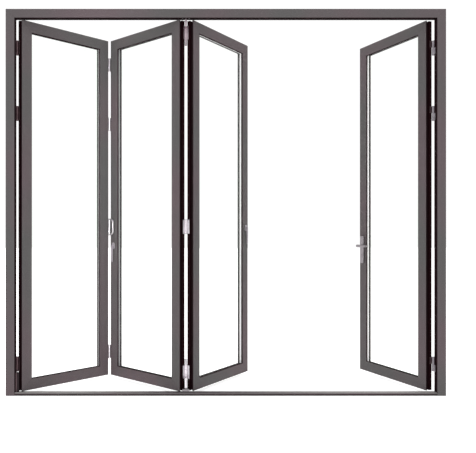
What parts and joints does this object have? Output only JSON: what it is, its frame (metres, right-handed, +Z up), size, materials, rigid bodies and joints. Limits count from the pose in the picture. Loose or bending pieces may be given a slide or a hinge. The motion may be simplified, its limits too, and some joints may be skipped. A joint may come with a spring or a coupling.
{
  "type": "folding glass door",
  "caption": "Aluminium folding door set: glazed leaves fold outwards to one side on a track, and a swing leaf with a lever handle hangs from the other jamb.",
  "frame": {"origin": "middle of the sill's flat underside, at mid depth of the frame", "axes": "+Z up, +X along the opening to the swing leaf's side, +Y to the side that the leaves open to"},
  "size_m": [2.734, 0.6411, 2.402],
  "materials": {
    "frame_coating": "dark grey textured powder coat on aluminium profile, with a fine metallic fleck",
    "satin_hardware": "satin silver hinge and lever metal",
    "bronze_hardware": "dark brown coated hinge metal",
    "glazing": "clear double glazed unit"
  },
  "bodies": {
    "frame": {"head": "frame_coating", "left_jamb": "frame_coating", "right_jamb": "frame_coating", "sill": "frame_coating", "leaf_1_jamb_stile": "frame_coating", "leaf_1_knee_stile": "frame_coating", "leaf_1_top_rail": "frame_coating", "leaf_1_bottom_rail": "frame_coating", "leaf_1_glass": "glazing", "leaf_2_track_stile": "frame_coating", "leaf_2_knee_stile": "frame_coating", "leaf_2_top_rail": "frame_coating", "leaf_2_bottom_rail": "frame_coating", "leaf_2_glass": "glazing", "leaf_3_track_stile": "frame_coating", "leaf_3_free_stile": "frame_coating", "leaf_3_top_rail": "frame_coating", "leaf_3_bottom_rail": "frame_coating", "leaf_3_glass": "glazing", "left_jamb_hinge_bottom": "bronze_hardware", "left_jamb_hinge_upper": "bronze_hardware", "left_jamb_hinge_top": "bronze_hardware", "left_pivot_block": "bronze_hardware", "knee_hinge_bottom": "satin_hardware", "knee_hinge_upper": "satin_hardware", "knee_hinge_top": "satin_hardware", "knee_pull_hinge": "satin_hardware", "top_carriage": "satin_hardware", "track_hinge": "satin_hardware", "bottom_carriage": "satin_hardware", "right_jamb_hinge_bottom": "satin_hardware", "right_jamb_hinge_upper": "satin_hardware", "right_jamb_hinge_top": "satin_hardware", "leaf_2_lever_base": "satin_hardware", "leaf_3_lever_base": "satin_hardware"},
    "swing_leaf": {"swing_leaf_hinge_stile": "frame_coating", "swing_leaf_lock_stile": "frame_coating", "swing_leaf_top_rail": "frame_coating", "swing_leaf_bottom_rail": "frame_coating", "swing_leaf_glass": "glazing", "swing_leaf_hinge_bottom": "satin_hardware", "swing_leaf_hinge_upper": "satin_hardware", "swing_leaf_hinge_top": "satin_hardware", "lock_plate_inner": "satin_hardware", "lock_plate_outer": "satin_hardware"},
    "lock_lever": {"lock_lever": "satin_hardware"},
    "leaf_2_lever": {"leaf_2_lever": "satin_hardware"},
    "leaf_3_lever": {"leaf_3_lever": "satin_hardware"}
  },
  "joints": [
    {"name": "swing_leaf_hinge", "type": "hinge", "parent": "frame", "child": "swing_leaf", "pos_m": [1.309, 0.032, 1.2], "axis": [0, 0, 1], "range_deg": [-22.5, 67.5]},
    {"name": "lock_lever_turn", "type": "hinge", "parent": "swing_leaf", "child": "lock_lever", "pos_m": [1.04696, 0.58101, 0.915], "axis": [0.9239, 0.3827, 0], "range_deg": [0, 45], "stiffness_Nm_per_rad": 1.5, "springref_deg": -34.38},
    {"name": "leaf_2_lever_turn", "type": "hinge", "parent": "frame", "child": "leaf_2_lever", "pos_m": [-0.75156, 0.40107, 0.92], "axis": [-0.6665, -0.7455, 0], "range_deg": [0, 90]},
    {"name": "leaf_3_lever_turn", "type": "hinge", "parent": "frame", "child": "leaf_3_lever", "pos_m": [0.18075, 0.50376, 1.044], "axis": [-0.8007, 0.599, 0], "range_deg": [0, 90]}
  ]
}
